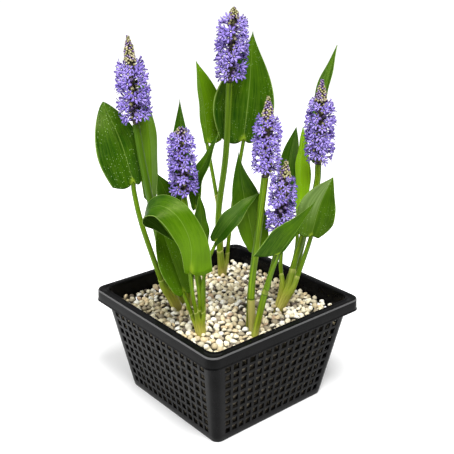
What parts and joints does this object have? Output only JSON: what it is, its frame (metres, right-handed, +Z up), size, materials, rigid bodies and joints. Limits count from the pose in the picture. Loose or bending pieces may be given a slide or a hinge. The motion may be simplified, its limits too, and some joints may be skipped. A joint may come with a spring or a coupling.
{
  "type": "pickerel weed in a square pond basket",
  "caption": "Pickerel weed in flower, with heart-shaped leaves and violet spikes, growing through gravel in a square mesh pond basket.",
  "frame": {"origin": "centre of the basket's flat underside", "axes": "+Z up through the basket and the plants; the basket's four sides face +X, -X, +Y and -Y, and the corner between +X and -Y is the one nearest the viewer"},
  "size_m": [0.2996, 0.302, 0.56],
  "materials": {
    "basket_plastic": "satin",
    "soil": "matte",
    "gravel": "matte",
    "sheath": "satin",
    "stem": "satin",
    "leaf": "satin",
    "petals": "matte"
  },
  "bodies": {
    "root": {"basket": "basket_plastic", "crown_A": "sheath", "crown_B": "sheath", "crown_C": "sheath", "crown_E": "sheath", "flower_spike_1": "petals", "flower_spike_2": "petals", "flower_spike_3": "petals", "flower_spike_4": "petals", "flower_spike_5": "petals", "flower_spike_6": "petals", "flower_stalk_1": "stem", "flower_stalk_2": "stem", "flower_stalk_3": "stem", "flower_stalk_4": "stem", "flower_stalk_5": "stem", "flower_stalk_6": "stem", "gravel": "gravel", "leaf_blade_A1": "leaf", "leaf_blade_A2": "leaf", "leaf_blade_A3": "leaf", "leaf_blade_A4": "leaf", "leaf_blade_B1": "leaf", "leaf_blade_B2": "leaf", "leaf_blade_B3": "leaf", "leaf_blade_B4": "leaf", "leaf_blade_B5": "leaf", "leaf_blade_C1": "leaf", "leaf_blade_C2": "leaf", "leaf_blade_D1": "leaf", "leaf_blade_D2": "leaf", "leaf_blade_E1": "leaf", "leaf_blade_E2": "leaf", "leaf_blade_E3": "leaf", "leaf_blade_E4": "leaf", "leaf_stem_A1": "stem", "leaf_stem_A2": "stem", "leaf_stem_A3": "stem", "leaf_stem_A4": "stem", "leaf_stem_B1": "stem", "leaf_stem_B2": "stem", "leaf_stem_B3": "stem", "leaf_stem_B4": "stem", "leaf_stem_B5": "stem", "leaf_stem_C1": "stem", "leaf_stem_C2": "stem", "leaf_stem_D1": "stem", "leaf_stem_D2": "stem", "leaf_stem_E1": "stem", "leaf_stem_E2": "stem", "leaf_stem_E3": "stem", "leaf_stem_E4": "stem", "soil": "soil"}
  },
  "joints": []
}
